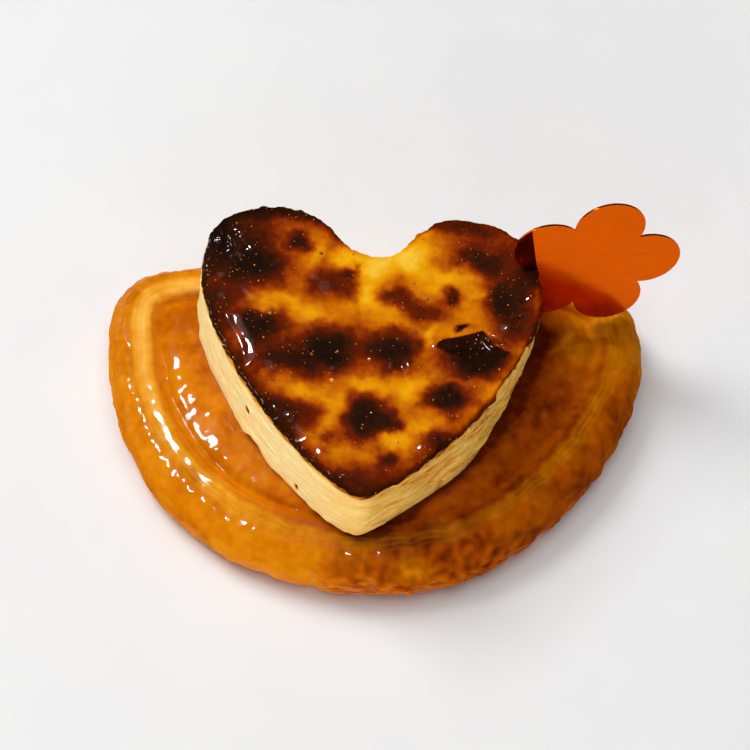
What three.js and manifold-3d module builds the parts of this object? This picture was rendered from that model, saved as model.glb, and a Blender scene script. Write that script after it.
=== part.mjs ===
// A filled palmier: a wide slice of rolled puff pastry, a heart of baked custard on it, a burnt-sugar
// sheet on the custard and a flower-shaped card tag pushed into the heart's right lobe.
// Millimetres. +X is right, +Y is back, +Z is up, and z = 0 is what the pastry stands on.

import * as THREE from "three";
import { mergeVertices } from "three/addons/utils/BufferGeometryUtils.js";
import Module from "manifold-3d";

const wasm = await Module();
wasm.setup();

// ---- Driving dimensions ----

// An outline with two lobes and a notch at the back is two halves. In each half, width and widest say
// where it is broadest, lobe is the top of its back lobe, and the handles say how full its sides are.
const PASTRY_OUTLINE = {
  front: -52.3,
  notch: 22.8,
  tipRadius: 0,
  tipAngle: -Math.PI / 2,
  shoulder: 0.16,
  throat: 0.07,
  left: {
    width: 63.8,
    widest: 11.5,
    lobe: [30, 27.9],
    tipHandle: 45.5,
    sideHandle: 28.5,
    fullness: [0.78, 0.5],
  },
  right: {
    width: 63.2,
    widest: 10.6,
    lobe: [39, 32.6],
    tipHandle: 42.3,
    sideHandle: 15.5,
    fullness: [0.76, 0.73],
  },
};
const PASTRY_SEGMENTS = 144;
const PASTRY_MIDDLE = new THREE.Vector2(0, -6);

// Section through the pastry's outer roll and the coil inside it, by distance in from the edge
const EDGE_HEIGHT = 5; // where the roll bulges furthest out
const UNDERSIDE_TUCK = 3.2; // how far in the flat underside begins
const ROLL_HALF_WIDTH = 6.2;
const ROLL_CREST = 15.1;
const RIDGE_INSET = 10.6; // the thin lamination ridge inside the roll
const RIDGE_RISE = 0.95;
const GROOVE_INSET = 12.7;
const GROOVE_DROP = 1.7;
const FOLD_SPREAD = 0.95; // half-width of the ridge and of the groove
const DOME_START = 13;
const DOME_END = 24;
const DOME_HEIGHT = 16.6;
const DOME_RING_INSETS = [7.6, 9.2, 10.6, 11.7, 12.7, 13.9, 15.8, 18.5];
const DOME_RING_STEPS = 5; // rings from there to the middle
const ROLL_UNDER_ANGLES = [-90, -60, -30]; // rings round the roll's section, in degrees above level
const ROLL_OVER_ANGLES = [0, 22, 44, 66, 88];
const ROLL_LUMP = 0.55; // how much the roll's outline wanders
const ROLL_LUMP_PITCH = 2.6; // how closely the lumps follow one another
const CRUST_LUMP = 0.3; // how much the top's height wanders
const CRUST_LUMP_PITCH = 1.7;
const CRUST_SINK = 0.18; // keeps the wandering top below the dome
const STEEPEST_RAY = 0.45; // limits how far a ring runs in where the edge turns into the notch
const LONGEST_RAY = 0.8;

// Valleys where the coils turn in: a line of points, its depth and its half-width
const COIL_VALLEYS = [
  { line: [[55, 16.5], [46.6, 16.4], [43, 12.2], [38, 8.8], [30, 8]], depth: 3.4, spread: 2.3 },
  { line: [[-50, 14], [-42.8, 16.2], [-34, 12], [-28, 6]], depth: 2, spread: 2.2 },
  { line: [[-1.5, 26], [-2.5, 4]], depth: 4, spread: 2.6 },
  { line: [[46, 19.5], [57, 21]], depth: 2.6, spread: 4.5 }, // pressed down under the tag
];

// Custard heart
const HEART_OUTLINE = {
  front: -42.9,
  notch: 18.35,
  tipRadius: 5.25,
  tipAngle: -1.01,
  shoulder: 0.45,
  throat: 0.42,
  left: {
    width: 39.54,
    widest: 13.3,
    lobe: [21.8, 30.4],
    tipHandle: 19.2,
    sideHandle: 16.5,
    fullness: [0.69, 0.69],
  },
  right: {
    width: 37.98,
    widest: 9.4,
    lobe: [18.3, 30.2],
    tipHandle: 19.2,
    sideHandle: 16.5,
    fullness: [0.69, 0.69],
  },
};
const HEART_PLACE = new THREE.Vector2(-1.6, 0.1);
const HEART_TURN = 0.02; // radians, seen from above
const HEART_SEGMENTS = 108;
const CUSTARD_FOOT = 17;
const CUSTARD_TOP = 32.6;
const CUSTARD_SPREAD = 0.9; // how much wider the foot is, all round
const CUSTARD_LEAN = 0.8; // how far the foot has slid to the left
const CUSTARD_TOP_ROUND = 0.5;
const CUSTARD_FOOT_ROUND = 0.4;
const CUSTARD_LAYERS = 8; // rings up the side
const FOOT_FADE = 1.3; // how quickly the foot's spread fades upwards
const SIDE_FOLD_LEFT = 0.12; // depth of the wavy folds in the sides
const SIDE_FOLD_RIGHT = 0.45;
const SIDE_FOLD_CHANGE = [-8, 12]; // the stretch across the front over which they deepen
const SIDE_FOLD_PITCH = 1.5; // radians of fold for each millimetre up
const SIDE_FOLD_FADE = 3; // height over which they die out at the foot and at the top
// Where the soft foot is squeezed out or drawn in: a place in plan, by how much and how far round it
const FOOT_SWELLS = [
  { at: [21, -24], out: 1.3, spread: 10 },
  { at: [33, 2], out: -1.9, spread: 12 },
  { at: [-40, 12], out: -0.7, spread: 10 },
];

// Caramel sheet
const CARAMEL_GAP = 0.3; // clearance to the custard under it
const CARAMEL_THICKNESS = 1.1;
const CARAMEL_EDGE = 0.6; // how far in the sheet reaches its full thickness
const CARAMEL_RELIEF = 0.35;
const CARAMEL_RELIEF_PITCH = 1.9;
const CARAMEL_RAGGED = 0.25; // how much its edge wanders
const CARAMEL_RAGGED_PITCH = 4;
const CARAMEL_RINGS = 6;

// Flower tag: five round petals cut from one card
const PETALS = 5;
const PETAL_RADIUS = 8;
const PETAL_ORBIT = 12.4;
const TAG_THICKNESS = 0.5;
const TAG_CENTRE = new THREE.Vector3(47.15, 21.55, 33.8);
const TAG_SPIN = THREE.MathUtils.degToRad(76.6); // direction of the first petal in the tag's plane
const TAG_YAW = THREE.MathUtils.degToRad(10.5);
const TAG_LEAN = THREE.MathUtils.degToRad(7.8); // backwards, away from upright
const TAG_CLEARANCE = 0.35; // round the tag, in the custard and caramel it is pushed into
const ARC_POINTS = 13;
const HALF_OUTLINE_POINTS = 200;

// ---- Finishes ----

const crust = new THREE.MeshStandardMaterial({ color: 0xc77a1e, roughness: 0.3, metalness: 0 });
const custard = new THREE.MeshStandardMaterial({ color: 0xf6d58f, roughness: 0.75, metalness: 0 });
const burntSugar = new THREE.MeshStandardMaterial({ color: 0x8a4208, roughness: 0.12, metalness: 0 });
const copperFoil = new THREE.MeshStandardMaterial({ color: 0xd4570a, roughness: 0.15, metalness: 1 });

// ---- Helpers ----

// Slow waves without a repeat, between -1 and 1
function waves(u, v) {
  return (
    0.4 * Math.sin(0.31 * u + 1.3 * Math.sin(0.17 * v)) +
    0.35 * Math.sin(0.27 * v - 0.9 + 1.1 * Math.sin(0.13 * u)) +
    0.25 * Math.sin(0.23 * (u + v) + 2.1)
  );
}

function bump(distance, spread) {
  return Math.exp(-((distance / spread) ** 2));
}

// Half of a lobed outline on the +X side, from the front round to the notch
function halfOutline(outline, half) {
  const { front, notch, tipRadius, tipAngle, shoulder, throat } = outline;
  const { width, widest, lobe, tipHandle, sideHandle, fullness } = half;
  const tipEnd = new THREE.Vector2(
    tipRadius * Math.cos(tipAngle),
    front + tipRadius * (1 + Math.sin(tipAngle)),
  );
  const [lobeX, lobeY] = lobe;
  const path = new THREE.Path();
  path.moveTo(0, front);
  if (tipRadius > 0) path.absarc(0, front + tipRadius, tipRadius, -Math.PI / 2, tipAngle, false);
  path.bezierCurveTo(
    tipEnd.x - tipHandle * Math.sin(tipAngle),
    tipEnd.y + tipHandle * Math.cos(tipAngle),
    width,
    widest - sideHandle,
    width,
    widest,
  );
  path.bezierCurveTo(
    width,
    widest + fullness[0] * (lobeY - widest),
    lobeX + fullness[1] * (width - lobeX),
    lobeY,
    lobeX,
    lobeY,
  );
  path.bezierCurveTo(shoulder * lobeX, lobeY, throat * lobeX, notch, 0, notch);
  return path.getSpacedPoints(HALF_OUTLINE_POINTS);
}

// The whole outline as evenly spaced points, counter-clockwise from the front
function lobedOutline(outline, count) {
  const right = halfOutline(outline, outline.right);
  const left = halfOutline(outline, outline.left).reverse();
  const mirrored = left.slice(1).map((p) => new THREE.Vector2(-p.x, p.y));
  const closed = new THREE.Path([...right, ...mirrored]);
  return closed.getSpacedPoints(count).slice(0, count);
}

// Unit vectors pointing in from each point of a counter-clockwise outline
function inwardNormals(points) {
  return points.map((_, i) => {
    const before = points.at(i - 1);
    const after = points[(i + 1) % points.length];
    return new THREE.Vector2(before.y - after.y, after.x - before.x).normalize();
  });
}

// A closed skin through rings of points that go from the middle of the underside, out and over the top
function skin(rings, bottom, top) {
  const count = rings[0].length;
  const positions = [bottom, ...rings.flat(), top].flatMap((p) => [p.x, p.y, p.z]);
  const last = 1 + rings.length * count;
  const faces = [];
  for (let i = 0; i < count; i += 1) {
    const next = (i + 1) % count;
    faces.push(0, 1 + next, 1 + i);
    for (let ring = 0; ring < rings.length - 1; ring += 1) {
      const a = 1 + ring * count + i;
      const b = 1 + ring * count + next;
      faces.push(a, b, b + count, a, b + count, a + count);
    }
    faces.push(last - count + i, last - count + next, last);
  }
  const geometry = new THREE.BufferGeometry();
  geometry.setAttribute("position", new THREE.Float32BufferAttribute(positions, 3));
  geometry.setIndex(faces);
  return geometry;
}

function asSolid(geometry) {
  const bare = geometry.clone();
  bare.deleteAttribute("normal");
  bare.deleteAttribute("uv");
  const merged = mergeVertices(bare, 1e-4);
  return new wasm.Manifold(
    new wasm.Mesh({
      numProp: 3,
      vertProperties: merged.getAttribute("position").array,
      triVerts: new Uint32Array(merged.index.array),
    }),
  );
}

function cut(geometry, tool) {
  const mesh = asSolid(geometry).subtract(tool).getMesh();
  const result = new THREE.BufferGeometry();
  result.setAttribute("position", new THREE.BufferAttribute(mesh.vertProperties, 3));
  result.setIndex(new THREE.BufferAttribute(mesh.triVerts, 1));
  return result;
}

// ---- Palmier ----

function distanceToLine(line, x, y) {
  const here = new THREE.Vector3(x, y, 0);
  const nearest = new THREE.Vector3();
  const pieces = line.slice(1).map((end, i) => {
    const piece = new THREE.Line3(
      new THREE.Vector3(...line[i], 0),
      new THREE.Vector3(...end, 0),
    );
    return piece.closestPointToPoint(here, true, nearest).distanceTo(here);
  });
  return Math.min(...pieces);
}

function crustWander(x, y) {
  return CRUST_LUMP * waves(CRUST_LUMP_PITCH * x, CRUST_LUMP_PITCH * y) - CRUST_SINK;
}

// Height of the baked top at an inset from the edge, at a place in plan
function crustHeight(inset, x, y) {
  const domed = THREE.MathUtils.smoothstep(inset, DOME_START, DOME_END);
  const dome = THREE.MathUtils.lerp(ROLL_CREST, DOME_HEIGHT, domed);
  const ridge = RIDGE_RISE * bump(inset - RIDGE_INSET, FOLD_SPREAD);
  const groove = GROOVE_DROP * bump(inset - GROOVE_INSET, FOLD_SPREAD);
  const valleys = COIL_VALLEYS.map(
    ({ line, depth, spread }) => depth * bump(distanceToLine(line, x, y), spread),
  );
  const folded = dome + ridge - groove - Math.max(...valleys);
  return Math.min(folded + crustWander(x, y), DOME_HEIGHT);
}

function pastryGeometry() {
  const edge = lobedOutline(PASTRY_OUTLINE, PASTRY_SEGMENTS);
  const inward = inwardNormals(edge);
  // A point at an inset from the edge, straight towards the middle of the pastry
  const plan = (i, inset) => {
    const ray = PASTRY_MIDDLE.clone().sub(edge[i]);
    const reach = ray.length();
    ray.normalize();
    const along = inset / Math.max(ray.dot(inward[i]), STEEPEST_RAY);
    return edge[i].clone().addScaledVector(ray, Math.min(along, LONGEST_RAY * reach));
  };
  const lump = (p) => ROLL_LUMP * waves(ROLL_LUMP_PITCH * p.x, ROLL_LUMP_PITCH * p.y);
  const rollRing = (degrees) => {
    const angle = THREE.MathUtils.degToRad(degrees);
    const over = degrees > 0;
    const halfWidth = over ? ROLL_HALF_WIDTH : UNDERSIDE_TUCK;
    const rise = over ? ROLL_CREST - EDGE_HEIGHT : EDGE_HEIGHT;
    return edge.map((edgePoint, i) => {
      const p = plan(i, halfWidth * (1 - Math.cos(angle)) + lump(edgePoint) * Math.cos(angle));
      const wander = over ? crustWander(p.x, p.y) : 0;
      return new THREE.Vector3(p.x, p.y, EDGE_HEIGHT + (rise + wander) * Math.sin(angle));
    });
  };
  const rings = [...ROLL_UNDER_ANGLES, ...ROLL_OVER_ANGLES].map(rollRing);
  for (const inset of DOME_RING_INSETS)
    rings.push(
      edge.map((_, i) => {
        const p = plan(i, inset);
        return new THREE.Vector3(p.x, p.y, crustHeight(inset, p.x, p.y));
      }),
    );
  const innermost = DOME_RING_INSETS.at(-1);
  for (let step = 1; step < DOME_RING_STEPS; step += 1) {
    const share = step / DOME_RING_STEPS;
    rings.push(
      edge.map((_, i) => {
        const p = plan(i, innermost).lerp(PASTRY_MIDDLE, share);
        const inset = innermost + share * (DOME_END - innermost) * 2;
        return new THREE.Vector3(p.x, p.y, crustHeight(inset, p.x, p.y));
      }),
    );
  }
  const { x, y } = PASTRY_MIDDLE;
  return skin(rings, new THREE.Vector3(x, y, 0), new THREE.Vector3(x, y, crustHeight(DOME_END, x, y)));
}

// ---- Custard heart and its caramel sheet ----

const heartEdge = lobedOutline(HEART_OUTLINE, HEART_SEGMENTS).map((p) =>
  p.rotateAround(new THREE.Vector2(), HEART_TURN).add(HEART_PLACE),
);
const heartInward = inwardNormals(heartEdge);

// The heart's outline at a height, grown outwards by an offset
function heartRing(height, offset, slide = 0) {
  return heartEdge.map((p, i) => {
    const grown = p.clone().addScaledVector(heartInward[i], -offset(p));
    return new THREE.Vector3(grown.x - slide, grown.y, height);
  });
}

// Wavy folds that run round the sides, deeper on the right
function sideFold(p, height) {
  const rightward = THREE.MathUtils.smoothstep(p.x, ...SIDE_FOLD_CHANGE);
  const depth = THREE.MathUtils.lerp(SIDE_FOLD_LEFT, SIDE_FOLD_RIGHT, rightward);
  const fade = Math.min(height - CUSTARD_FOOT, CUSTARD_TOP - height) / SIDE_FOLD_FADE;
  return depth * Math.min(fade, 1) * Math.sin(SIDE_FOLD_PITCH * height + 2.2 * waves(p.x, 2 * p.y));
}

function footSwell(p) {
  const swells = FOOT_SWELLS.map(({ at, out, spread }) => {
    const away = Math.hypot(p.x - at[0], p.y - at[1]);
    return out * bump(away, spread);
  });
  return swells.reduce((sum, swell) => sum + swell, CUSTARD_SPREAD);
}

function custardGeometry() {
  const rings = [heartRing(CUSTARD_FOOT, (p) => footSwell(p) - CUSTARD_FOOT_ROUND, CUSTARD_LEAN)];
  const sideTop = CUSTARD_TOP - CUSTARD_TOP_ROUND;
  const sideFoot = CUSTARD_FOOT + CUSTARD_FOOT_ROUND;
  for (let layer = 0; layer <= CUSTARD_LAYERS; layer += 1) {
    const up = layer / CUSTARD_LAYERS;
    const height = THREE.MathUtils.lerp(sideFoot, sideTop, up);
    const offset = (p) => footSwell(p) * (1 - up) ** FOOT_FADE + sideFold(p, height);
    rings.push(heartRing(height, offset, CUSTARD_LEAN * (1 - up)));
  }
  rings.push(heartRing(CUSTARD_TOP, () => -CUSTARD_TOP_ROUND));
  const { x, y } = HEART_PLACE;
  return skin(rings, new THREE.Vector3(x, y, CUSTARD_FOOT), new THREE.Vector3(x, y, CUSTARD_TOP));
}

function caramelGeometry() {
  const under = CUSTARD_TOP + CARAMEL_GAP;
  const over = under + CARAMEL_THICKNESS;
  const ragged = (p) => CARAMEL_RAGGED * waves(CARAMEL_RAGGED_PITCH * p.x, CARAMEL_RAGGED_PITCH * p.y);
  const slump = (p) => CARAMEL_RELIEF * waves(CARAMEL_RELIEF_PITCH * p.x, CARAMEL_RELIEF_PITCH * p.y);
  const rings = [
    heartRing(under, (p) => ragged(p) - CARAMEL_EDGE),
    heartRing(under + 0.25 * CARAMEL_THICKNESS, ragged),
    heartRing(under + 0.65 * CARAMEL_THICKNESS, ragged),
  ];
  const brim = heartRing(over, (p) => ragged(p) - CARAMEL_EDGE);
  const middle = new THREE.Vector3(HEART_PLACE.x, HEART_PLACE.y, over);
  for (let ring = 0; ring < CARAMEL_RINGS; ring += 1)
    rings.push(
      brim.map((p) => {
        const q = p.clone().lerp(middle, ring / CARAMEL_RINGS);
        q.z += slump(q);
        return q;
      }),
    );
  middle.z += slump(middle);
  return skin(rings, new THREE.Vector3(middle.x, middle.y, under), middle);
}

// ---- Flower tag ----

// A flower in the XY plane, with its thickness centred on it; growth thickens and widens it alike
function flowerGeometry(growth) {
  const radius = PETAL_RADIUS + growth;
  const halfAngle = Math.PI / PETALS;
  const reach =
    PETAL_ORBIT * Math.cos(halfAngle) +
    Math.sqrt(radius ** 2 - (PETAL_ORBIT * Math.sin(halfAngle)) ** 2);
  const sweep = Math.atan2(reach * Math.sin(halfAngle), reach * Math.cos(halfAngle) - PETAL_ORBIT);
  const outline = new THREE.Shape();
  for (let petal = 0; petal < PETALS; petal += 1) {
    const facing = TAG_SPIN + 2 * halfAngle * petal;
    outline.absarc(
      PETAL_ORBIT * Math.cos(facing),
      PETAL_ORBIT * Math.sin(facing),
      radius,
      facing - sweep,
      facing + sweep,
      false,
    );
  }
  const depth = TAG_THICKNESS + 2 * growth;
  const flower = new THREE.ExtrudeGeometry(outline, {
    depth,
    bevelEnabled: false,
    curveSegments: ARC_POINTS,
  });
  return flower.translate(0, 0, -depth / 2);
}

// The tag's plane: its own X runs along the card, its own Y up the card, and its own Z faces the front
function tagPlacement() {
  const facing = new THREE.Vector3(
    Math.sin(TAG_YAW) * Math.cos(TAG_LEAN),
    -Math.cos(TAG_YAW) * Math.cos(TAG_LEAN),
    Math.sin(TAG_LEAN),
  );
  const along = new THREE.Vector3(Math.cos(TAG_YAW), Math.sin(TAG_YAW), 0);
  const up = new THREE.Vector3().crossVectors(facing, along);
  return new THREE.Matrix4().makeBasis(along, up, facing).setPosition(TAG_CENTRE);
}

// ---- Assembly ----

const tagPlace = tagPlacement();
const slot = asSolid(flowerGeometry(TAG_CLEARANCE).applyMatrix4(tagPlace));

const palmier = new THREE.Group();

function addPiece(name, geometry, material) {
  const mesh = new THREE.Mesh(geometry, material);
  mesh.name = name;
  palmier.add(mesh);
}

addPiece("pastry", pastryGeometry(), crust);
addPiece("custard_heart", cut(custardGeometry(), slot), custard);
addPiece("caramel_top", cut(caramelGeometry(), slot), burntSugar);
addPiece("flower_tag", flowerGeometry(0).applyMatrix4(tagPlace), copperFoil);

// The origin is the middle of the whole, on what it stands on
const extent = new THREE.Box3().setFromObject(palmier, true);
const middle = extent.getCenter(new THREE.Vector3());
palmier.position.set(-middle.x, -middle.y, -extent.min.z);

const part = new THREE.Group();
part.add(palmier);

export default part;
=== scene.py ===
# %% [markdown]
# # A filled palmier
# A wide slice of rolled puff pastry carries a heart of baked custard. Torched sugar covers the
# custard, and a flower cut from orange foil card is pushed into its side. The solids from the CAD
# step give every size and place. This script gives each of them a skin with the fine relief, colour
# and gloss that the real dessert has, and it keeps the same frame: metres, +X right, +Y back, +Z
# up.

# %% Load the frame's CAD nodes from model.glb
import math

import bmesh
import bpy
import numpy as np
from mathutils import Matrix, Vector
from mathutils.bvhtree import BVHTree


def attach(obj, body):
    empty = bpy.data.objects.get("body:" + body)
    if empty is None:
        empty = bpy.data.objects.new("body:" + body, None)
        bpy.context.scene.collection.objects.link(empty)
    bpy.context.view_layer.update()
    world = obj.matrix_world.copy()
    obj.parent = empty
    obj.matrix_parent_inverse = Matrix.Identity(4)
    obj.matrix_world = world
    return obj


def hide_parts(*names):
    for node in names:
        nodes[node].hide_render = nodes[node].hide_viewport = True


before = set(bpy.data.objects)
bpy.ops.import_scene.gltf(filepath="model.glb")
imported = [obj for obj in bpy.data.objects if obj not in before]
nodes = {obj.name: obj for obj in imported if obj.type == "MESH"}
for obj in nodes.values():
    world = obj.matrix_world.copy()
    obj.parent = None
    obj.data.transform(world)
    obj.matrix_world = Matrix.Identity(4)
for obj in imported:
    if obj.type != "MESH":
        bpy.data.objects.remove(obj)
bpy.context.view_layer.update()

# %% [markdown]
# ## Working on a surface as numbers
# Baked food has no edges to bevel. Its shape is a soft surface with thousands of small bumps, so
# the handiest way is to read all points of a fine mesh at once, work out how far each one moves,
# and write them back. The helpers below do that in millimetres. Smooth noise gives bumps without a
# pattern.

# %% Read and write the points of a mesh
MM = 0.001


def read(mesh):
    """All points of a mesh, in millimetres."""
    flat = np.empty(3 * len(mesh.vertices), np.float32)
    mesh.vertices.foreach_get("co", flat)
    return flat.reshape(-1, 3).astype(float) / MM


def write(mesh, points):
    """Moves all points of a mesh, given in millimetres."""
    mesh.vertices.foreach_set("co", (points * MM).astype(np.float32).ravel())
    mesh.update()


def directions(mesh):
    """The way each point of a mesh faces."""
    flat = np.empty(3 * len(mesh.vertices), np.float32)
    mesh.vertex_normals.foreach_get("vector", flat)
    return flat.reshape(-1, 3).astype(float)


# %% Soft steps and spots
def ease(value, start, end):
    """0 before start and 1 after end, with a smooth step between them."""
    t = np.clip((value - start) / (end - start), 0, 1)
    return t * t * (3 - 2 * t)


def bump(distance, spread):
    """1 at no distance, and fading out over a spread in millimetres."""
    return np.exp(-((distance / spread) ** 2))


def round_spot(points, place, radius):
    """1 at a place, seen from above, and fading out over a radius."""
    return bump(np.hypot(points[:, 0] - place[0], points[:, 1] - place[1]), radius)


# %% Smooth noise
shuffled = np.random.default_rng(5).permutation(256)
shuffled = np.concatenate([shuffled, shuffled])
slopes = np.random.default_rng(6).normal(size=(256, 3))
slopes /= np.linalg.norm(slopes, axis=1)[:, None]
SEED_STEP = np.array([17.31, 5.93, 31.77])  # each seed reads another place of the noise
TO_FULL_RANGE = 1.6


def noise(points, size, seed=0):
    """Smooth bumps between about -1 and 1, of a size in millimetres, which may differ by axis."""
    place = points / np.asarray(size, float) + seed * SEED_STEP
    cell = np.floor(place).astype(int)
    inside = place - cell
    blend = inside**3 * (inside * (inside * 6 - 15) + 10)
    total = np.zeros(len(points))
    for corner in np.ndindex(2, 2, 2):
        x, y, z = ((cell + corner) & 255).T
        slope = slopes[shuffled[shuffled[shuffled[x] + y] + z]]
        share = np.where(corner, blend, 1 - blend).prod(axis=1)
        total += share * ((inside - corner) * slope).sum(axis=1)
    return TO_FULL_RANGE * total


def lumps(points, *layers):
    """Noise in layers on top of each other, each given as (height, size, seed)."""
    return sum(height * noise(points, size, seed) for height, size, seed in layers)


def rough(points, size, steps, seed=0):
    """Noise with ever finer bumps on it."""
    return sum(noise(points, size / 2**k, seed + 40 * k) / 2**k for k in range(steps))


# %% [markdown]
# ## Fine copies of the solids
# A CAD node keeps its own mesh, so each piece starts as a copy. Its loose triangles are merged
# first. Subdividing them would keep their long slivers, so the voxel Remesh modifier gives even
# quads all over, small enough to carry the relief, and a few rounds of smoothing take the facets
# away. Flat hidden faces don't need small quads: they are taken out, and one large face fills the
# hole.

# %% Show a mesh, and turn its modifiers into mesh
scene = bpy.context.scene


def show(name, mesh):
    """Puts a mesh in the scene as a piece, with its object at the origin."""
    piece = bpy.data.objects.new(name, mesh)
    scene.collection.objects.link(piece)
    return piece


def settle(piece):
    """Turns the piece's modifiers into mesh."""
    graph = bpy.context.evaluated_depsgraph_get()
    made = bpy.data.meshes.new_from_object(piece.evaluated_get(graph))
    piece.modifiers.clear()
    made.name = piece.name
    piece.data = made


# %% Smooth chosen points
def melt(piece, chosen, rounds):
    """Smooths the relief at the chosen points."""
    bm = bmesh.new()
    bm.from_mesh(piece.data)
    bm.verts.ensure_lookup_table()
    soft = [bm.verts[i] for i in np.flatnonzero(chosen)]
    for _ in range(rounds):
        bmesh.ops.smooth_vert(
            bm, verts=soft, factor=0.5, use_axis_x=True, use_axis_y=True, use_axis_z=True
        )
    bm.to_mesh(piece.data)
    bm.free()


# %% Remesh a copy
def fine_copy(node, name, voxel, rounded=0, smoothing=4):
    """A copy of a CAD node with even quads of the voxel size, in millimetres."""
    mesh = nodes[node].data.copy()
    bm = bmesh.new()
    bm.from_mesh(mesh)
    bmesh.ops.remove_doubles(bm, verts=bm.verts[:], dist=1e-6)
    if rounded:
        bmesh.ops.join_triangles(
            bm,
            faces=bm.faces[:],
            angle_face_threshold=math.radians(50),
            angle_shape_threshold=math.radians(180),
        )
    bm.to_mesh(mesh)
    bm.free()
    piece = show(name, mesh)
    if rounded:
        rounding = piece.modifiers.new("rounding", "SUBSURF")
        rounding.levels = rounding.render_levels = rounded
    even = piece.modifiers.new("even", "REMESH")
    even.mode = "VOXEL"
    even.voxel_size = voxel * MM
    settle(piece)
    piece.data.materials.clear()
    melt(piece, np.ones(len(piece.data.vertices), bool), smoothing)
    return piece


# %% Flat sides, and the count of triangles
def flatten_and_thin(piece, level, facing, reach=0.35, hidden=None):
    """Makes a flat side exactly flat, and fills the hidden part of it with one large face."""
    points, ways = read(piece.data), directions(piece.data)
    flat = (np.abs(points[:, 2] - level) < reach) & (ways[:, 2] * facing > 0.9)
    points[flat, 2] = level
    write(piece.data, points)
    if hidden is not None:
        flat &= hidden(points)
    bm = bmesh.new()
    bm.from_mesh(piece.data)
    inner = [f for f in bm.faces if all(flat[v.index] for v in f.verts)]
    bmesh.ops.delete(bm, geom=inner, context="FACES")
    open_edges = [e for e in bm.edges if e.is_boundary]
    bmesh.ops.holes_fill(bm, edges=open_edges, sides=0)
    bm.to_mesh(piece.data)
    bm.free()


def triangles(piece):
    """How many triangles a piece has."""
    piece.data.calc_loop_triangles()
    return len(piece.data.loop_triangles)


# %% [markdown]
# ## Distances to an edge
# Many marks of a pastry follow its edge: the roll, the fold inside it, the browned rim. They could
# be painted on a map, but a distance needs no map and moves along when the outline changes. The
# outline is read from the CAD node at the height where it is widest, and each point of the fine
# mesh gets its distance to it.


# %% Heights and outlines
def foot_and_top(node):
    """A CAD node's lowest and highest height, in millimetres."""
    heights = read(nodes[node].data)[:, 2]
    return round(float(heights.min()), 3), round(float(heights.max()), 3)


def outline(node, tolerance=0.02):
    """A CAD node's outline at the height where it is widest, counter-clockwise, in millimetres."""
    points = read(nodes[node].data)
    widest = points[points[:, 0].argmax(), 2]
    ring = points[np.abs(points[:, 2] - widest) < tolerance][:, :2]
    ring = np.unique(np.round(ring, 3), axis=0)
    away_x, away_y = (ring - ring.mean(axis=0)).T
    return ring[np.argsort(np.arctan2(away_y, away_x))]


def within(points, ring):
    """Which points lie inside a closed outline, seen from above."""
    crossings = np.zeros(len(points), int)
    for (x1, y1), (x2, y2) in zip(ring, np.roll(ring, -1, axis=0)):
        spans = (y1 > points[:, 1]) != (y2 > points[:, 1])
        crossed = x1 + (points[:, 1] - y1) * (x2 - x1) / (y2 - y1 if y2 != y1 else 1e-9)
        crossings += spans & (points[:, 0] < crossed)
    return crossings % 2 == 1


# %% Distances, seen from above
def line_distance(points, line):
    """How far each point is from an open line."""
    nearest = np.full(len(points), 1e9)
    for start, end in zip(line, line[1:]):
        side = np.array(end, float) - start
        reach = points[:, :2] - start
        share = np.clip((reach @ side) / (side @ side), 0, 1)
        nearest = np.minimum(nearest, np.hypot(*(reach - share[:, None] * side).T))
    return nearest


def edge_distance(points, ring):
    """How far each point is from a closed outline."""
    return line_distance(points, [*ring, ring[0]])


def depth_inside(points, ring):
    """Distance to a closed outline, which is negative outside it."""
    gap = edge_distance(points, ring)
    return np.where(within(points, ring), gap, -gap)


# %% A number for each point
def keep(piece, name, values):
    """Stores one number for each point, for a material to read."""
    layer = piece.data.attributes.new(name, "FLOAT", "POINT")
    layer.data.foreach_set("value", np.asarray(values, np.float32))


# %% [markdown]
# ## The palmier
# Puff pastry is folded in from both sides and sliced, so the slice shows a thick outer roll, a thin
# ridge and groove where the next fold begins, and a mottled middle. The solid has these forms
# already, and brushes could sculpt the rest, but numbers can be put right one by one. The skin adds
# lumps to the roll, fine layers beside the ridge, and torn flakes along the foot. Noise alone looks
# the same everywhere, so two tables place the larger lumps and dents, and the patches that are
# darker
# or paler: most are browning, and a few are painted light and shade. Painted shade also lies in the
# groove, beside the custard and in the creases, and painted bounce light on the underside.

# %% Palmier: fine copy
palmier = fine_copy("pastry", "palmier", voxel=0.45, rounded=1, smoothing=3)
flatten_and_thin(palmier, level=0.0, facing=-1)
rim = outline("pastry")
print("palmier", triangles(palmier), "triangles, outline of", len(rim), "points")

# %% The heart above it, beside whose edge the crust gets painted shade
LIFTED_FOOT = (-27.8, -13.2)  # where the custard stays off the crust, over painted shadow on the crust

heart_rim = outline("caramel_top")
print("heart outline of", len(heart_rim), "points")

# %% Palmier: melt the sharp start of the inner fold
FOLD_FROM, FOLD_TO = 8, 17  # distances from the edge
SIDES_END = 8  # height
FAR_LEFT, IN_FRONT = 52, 15  # from the middle, along slanting directions

crust = read(palmier.data)
inset = edge_distance(crust, rim)
near_fold = (inset > FOLD_FROM) & (inset < FOLD_TO) & (crust[:, 2] > SIDES_END)
far_left = crust @ (-1, 1, 0) > FAR_LEFT
in_front = crust @ (0.75, -1, 0) > IN_FRONT
melt(palmier, near_fold, rounds=4)
melt(palmier, near_fold & far_left, rounds=22)
melt(palmier, near_fold & in_front, rounds=30)
print("melted", int(near_fold.sum()), "points beside the inner fold")

# %% Palmier: zones of the crust
# A zone is 1 inside and 0 outside. Its soft border lies between two distances from the edge.
EDGE_ENDS, ROLL_ENDS = (1.5, 4.0), (5.5, 7.5)
BAND_STARTS, BAND_ENDS = (5.4, 6.8), (9.3, 10.2)
DOME_STARTS = (11.5, 14.0)

crust = read(palmier.data)
inset = edge_distance(crust, rim)
plan = crust * (1, 1, 0)
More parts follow.
